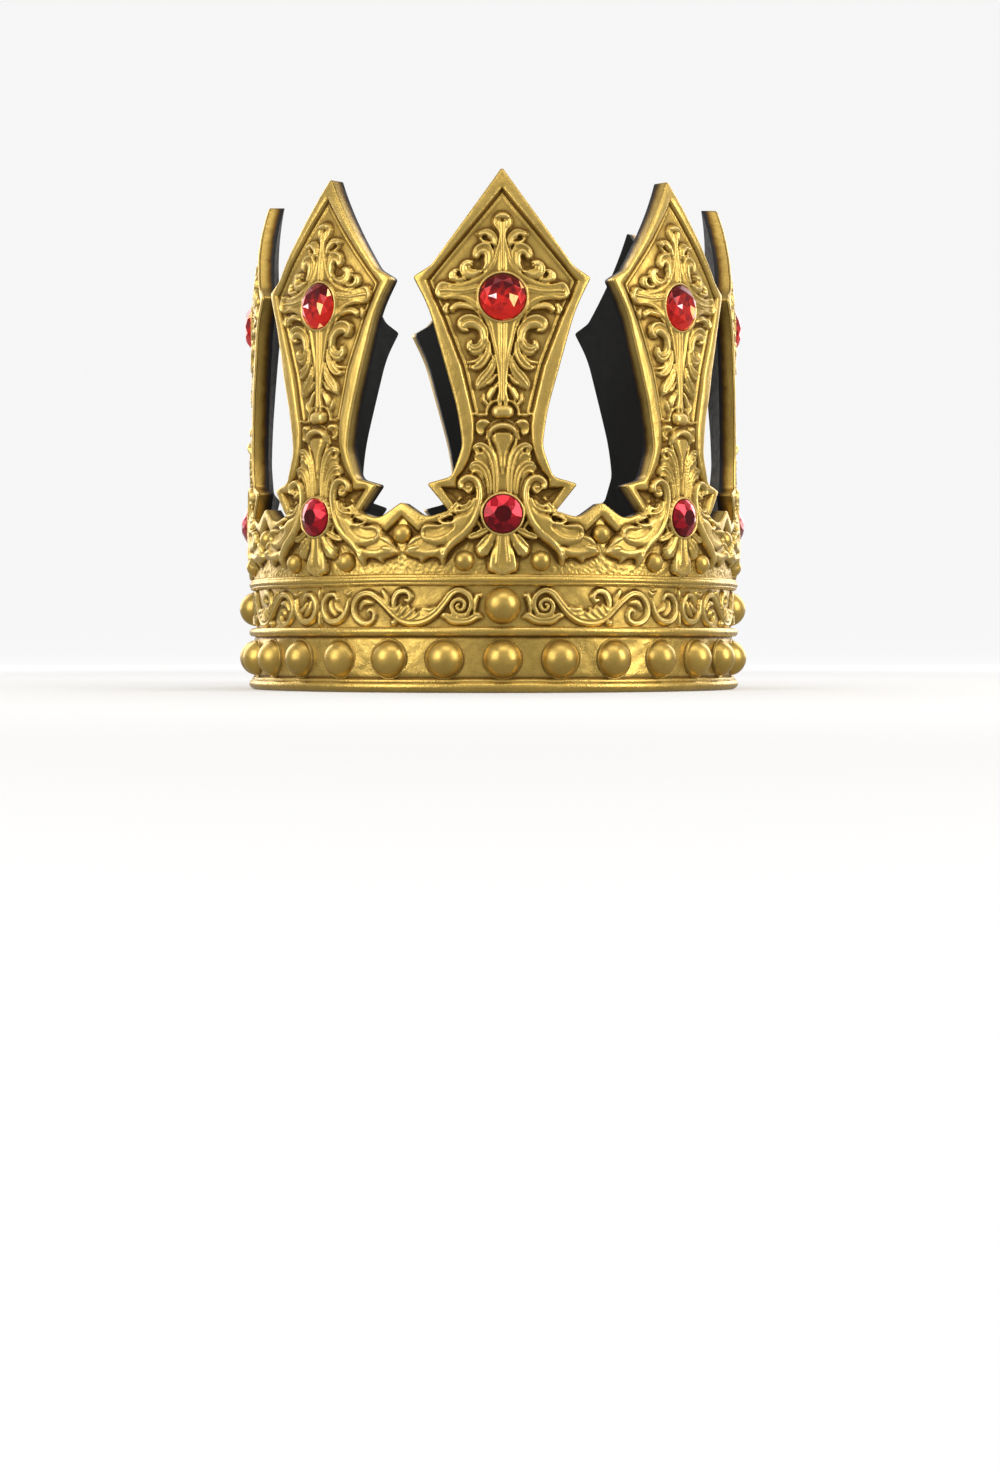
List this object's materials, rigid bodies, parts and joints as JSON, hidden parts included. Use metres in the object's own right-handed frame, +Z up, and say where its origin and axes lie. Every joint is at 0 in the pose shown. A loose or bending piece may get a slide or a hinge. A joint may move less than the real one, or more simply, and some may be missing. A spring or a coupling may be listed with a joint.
{
  "type": "costume crown",
  "caption": "Open royal costume crown: moulded gold ring with studs, scroll frieze and tall pointed spires set with round red stones.",
  "frame": {"origin": "centre of the rim's underside, on the surface that the crown rests on", "axes": "+Z up along the ring's axis, -Y towards the front spire, +X to the right seen from the front"},
  "size_m": [0.2042, 0.2042, 0.194],
  "materials": {
    "gold_paint": "satin metallic gold paint, browned in the hollows, on a black moulding",
    "red_stone": "clear red facets over a foiled flat back"
  },
  "bodies": {
    "root": {"crown_shell": "gold_paint", "upper_stone_1": "red_stone", "upper_stone_2": "red_stone", "upper_stone_3": "red_stone", "upper_stone_4": "red_stone", "upper_stone_5": "red_stone", "upper_stone_6": "red_stone", "upper_stone_7": "red_stone", "upper_stone_8": "red_stone", "lower_stone_1": "red_stone", "lower_stone_2": "red_stone", "lower_stone_3": "red_stone", "lower_stone_4": "red_stone", "lower_stone_5": "red_stone", "lower_stone_6": "red_stone", "lower_stone_7": "red_stone", "lower_stone_8": "red_stone"}
  },
  "joints": []
}
